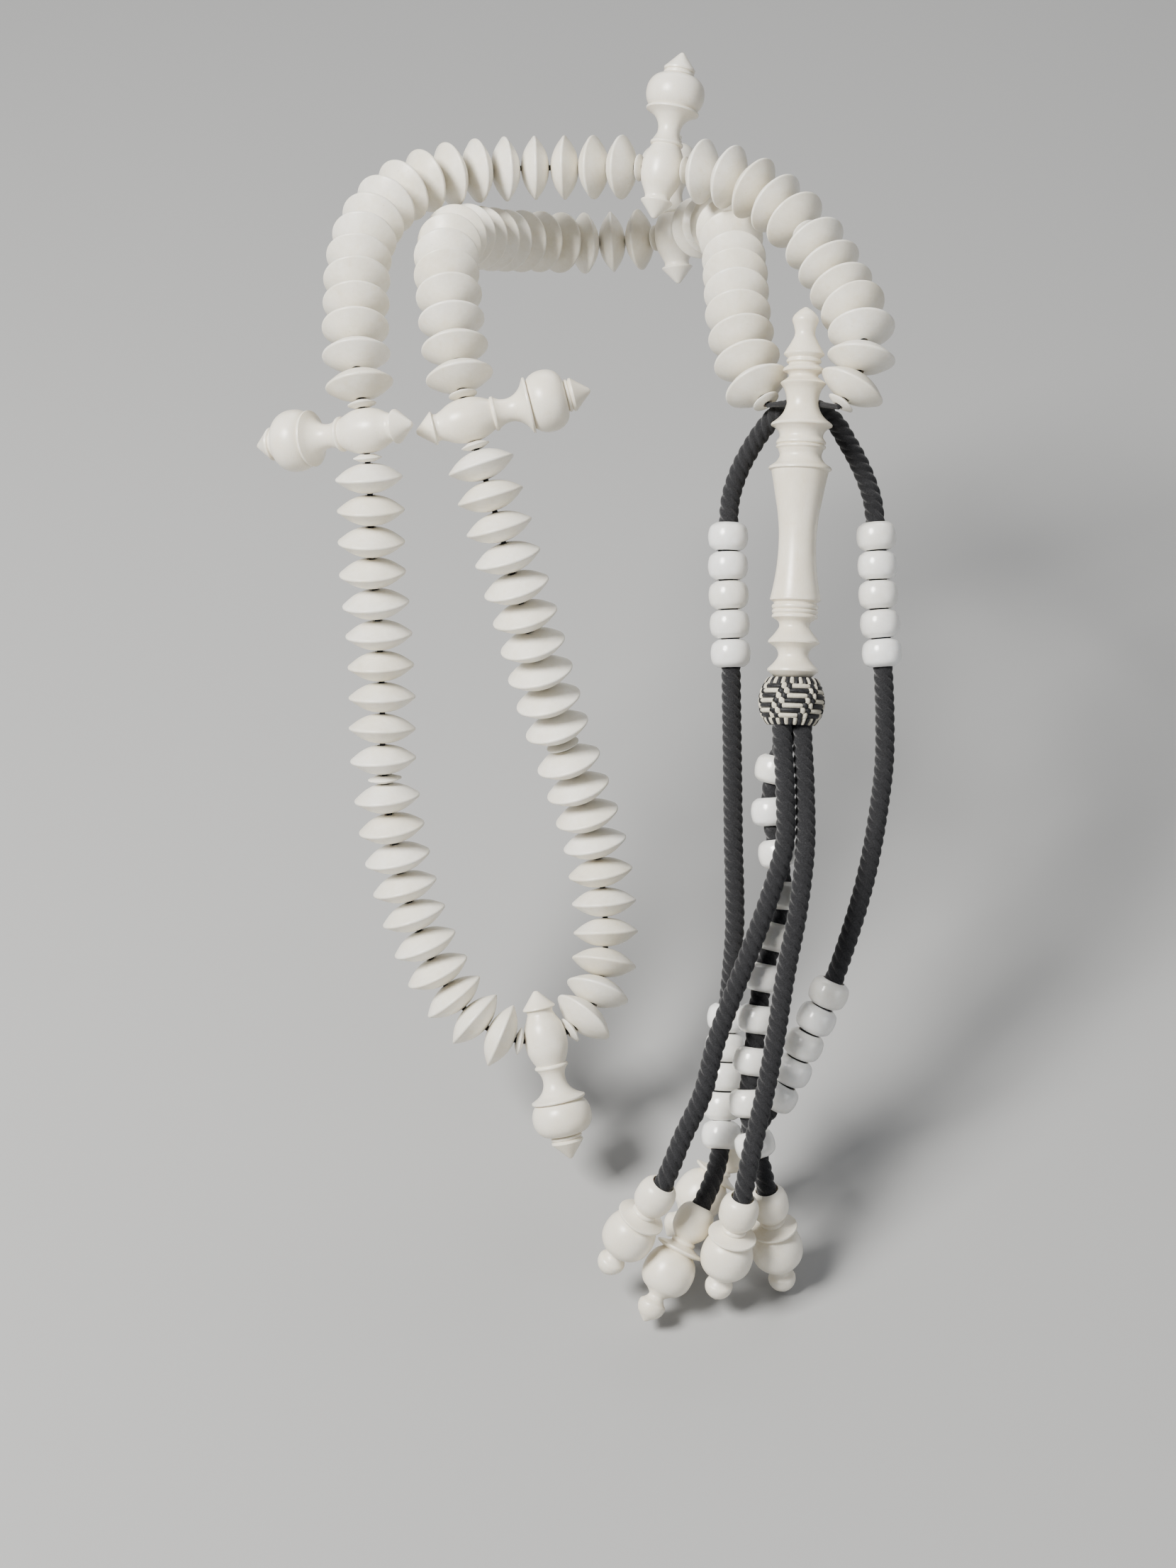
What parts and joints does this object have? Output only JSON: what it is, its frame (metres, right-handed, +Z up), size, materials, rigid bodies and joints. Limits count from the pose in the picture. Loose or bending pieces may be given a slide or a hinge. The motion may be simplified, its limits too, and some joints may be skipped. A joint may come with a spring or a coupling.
{
  "type": "misbaha prayer beads",
  "caption": "Draped string of lens-shaped prayer beads with turned marker beads, a long turned head piece, a woven bead and black cords with counting rings and pendants.",
  "frame": {"origin": "middle of the top front edge of the low stand over which the string is draped; the stand is not part of the object", "axes": "+X to the right, +Y away from the viewer over the stand, +Z up"},
  "size_m": [0.1345, 0.2211, 0.1857],
  "materials": {
    "lens": "satin, fine grain, faint yellow patches",
    "disc": "matte, slightly rough",
    "marker": "waxy satin",
    "head": "waxy satin with lengthwise grain",
    "pendant": "waxy satin",
    "ring": "glossy",
    "weave": "black and cream woven strips",
    "cord": "twisted yarn, matte",
    "string": "twisted thread, matte"
  },
  "bodies": {
    "strand": {"string_knot": "string", "main_string": "string", "spacer_discs": "disc", "lens_run_1": "lens", "lens_run_2": "lens", "lens_run_3": "lens", "lens_run_4": "lens", "lens_run_5": "lens", "lens_run_6": "lens", "cord_a": "cord", "cord_b": "cord", "cord_binding": "cord", "end_knot_a": "cord", "end_knot_b": "cord", "rings_a_low": "ring", "rings_b_top": "ring", "rings_b_low": "ring"},
    "head": {"head_piece": "head", "core_string": "string", "woven_bead": "weave", "bundle_knot": "cord", "cord_c": "cord", "cord_d_left": "cord", "cord_e": "cord", "rings_e": "ring", "end_knot_c": "cord", "end_knot_d": "cord", "end_knot_e": "cord"},
    "marker_1": {"marker_1": "marker"},
    "marker_2": {"marker_2": "marker"},
    "marker_3": {"marker_3": "marker"},
    "marker_4": {"marker_4": "marker"},
    "marker_5": {"marker_5": "marker"},
    "pendant_a": {"pendant_a": "pendant"},
    "pendant_b": {"pendant_b": "pendant"},
    "pendant_c": {"pendant_c": "pendant"},
    "pendant_d": {"pendant_d": "pendant"},
    "pendant_e": {"pendant_e": "pendant"},
    "ring_a1": {"ring_a1": "ring"},
    "ring_a2": {"ring_a2": "ring"},
    "ring_a3": {"ring_a3": "ring"},
    "ring_a4": {"ring_a4": "ring"},
    "ring_a5": {"ring_a5": "ring"},
    "ring_b4": {"ring_b4": "ring"},
    "ring_b5": {"ring_b5": "ring"}
  },
  "joints": [
    {"name": "marker_1_swing", "type": "hinge", "parent": "strand", "child": "marker_1", "pos_m": [-0.0245, -0.00799, 0.0015], "axis": [0.2361, -0.7171, -0.6558], "range_deg": [-60, 60]},
    {"name": "marker_2_swing", "type": "hinge", "parent": "strand", "child": "marker_2", "pos_m": [-0.009, -0.077, -0.111], "axis": [-0.9547, -0.2973, -0.0115], "range_deg": [-60, 60]},
    {"name": "marker_3_swing", "type": "hinge", "parent": "strand", "child": "marker_3", "pos_m": [-0.04543, -0.01249, 0.0019], "axis": [-0.0918, 0.6373, 0.7651], "range_deg": [-50, 60]},
    {"name": "marker_4_swing", "type": "hinge", "parent": "strand", "child": "marker_4", "pos_m": [0.01624, 0.05734, 0.02287], "axis": [0.9014, -0.4048, 0.1539], "range_deg": [-30, 30]},
    {"name": "marker_5_swing", "type": "hinge", "parent": "strand", "child": "marker_5", "pos_m": [0.01997, 0.07563, -0.00416], "axis": [-0.6931, 0.5315, -0.4869], "range_deg": [-30, 30]},
    {"name": "head_swing", "type": "hinge", "parent": "strand", "child": "head", "pos_m": [0.044, -0.0058, 0.004], "axis": [-0.9993, 0.0245, 0.0272], "range_deg": [0, 12]},
    {"name": "pendant_a_spin", "type": "hinge", "parent": "strand", "child": "pendant_a", "pos_m": [0.0235, -0.11133, -0.12394], "axis": [-0.4498, -0.6547, -0.6076], "continuous": true},
    {"name": "pendant_b_spin", "type": "hinge", "parent": "strand", "child": "pendant_b", "pos_m": [0.0333, -0.09388, -0.1231], "axis": [-0.6222, -0.5238, -0.5818], "continuous": true},
    {"name": "pendant_c_spin", "type": "hinge", "parent": "head", "child": "pendant_c", "pos_m": [0.0154, -0.11514, -0.11203], "axis": [-0.4604, -0.1884, -0.8675], "continuous": true},
    {"name": "pendant_d_spin", "type": "hinge", "parent": "head", "child": "pendant_d", "pos_m": [0.0315, -0.11717, -0.11384], "axis": [-0.1904, -0.2483, -0.9498], "continuous": true},
    {"name": "pendant_e_spin", "type": "hinge", "parent": "head", "child": "pendant_e", "pos_m": [0.0369, -0.11118, -0.11869], "axis": [0.1703, -0.2623, -0.9499], "continuous": true},
    {"name": "ring_a1_slide", "type": "slide", "parent": "strand", "child": "ring_a1", "axis": [0.0151, -0.6611, -0.7501], "range_m": [0, 0.01]},
    {"name": "ring_a2_slide", "type": "slide", "parent": "ring_a1", "child": "ring_a2", "axis": [0.0151, -0.6611, -0.7501], "range_m": [0, 0.01]},
    {"name": "ring_a3_slide", "type": "slide", "parent": "ring_a2", "child": "ring_a3", "axis": [0.0151, -0.6611, -0.7501], "range_m": [0, 0.01]},
    {"name": "ring_a4_slide", "type": "slide", "parent": "ring_a3", "child": "ring_a4", "axis": [0.0151, -0.6611, -0.7501], "range_m": [0, 0.01]},
    {"name": "ring_a5_slide", "type": "slide", "parent": "ring_a4", "child": "ring_a5", "axis": [0.0151, -0.6611, -0.7501], "range_m": [0, 0.01]},
    {"name": "ring_b4_slide", "type": "slide", "parent": "strand", "child": "ring_b4", "axis": [0.0558, -0.6569, -0.7519], "range_m": [0, 0.005]},
    {"name": "ring_b5_slide", "type": "slide", "parent": "ring_b4", "child": "ring_b5", "axis": [0.0558, -0.6569, -0.7519], "range_m": [0, 0.005]}
  ]
}
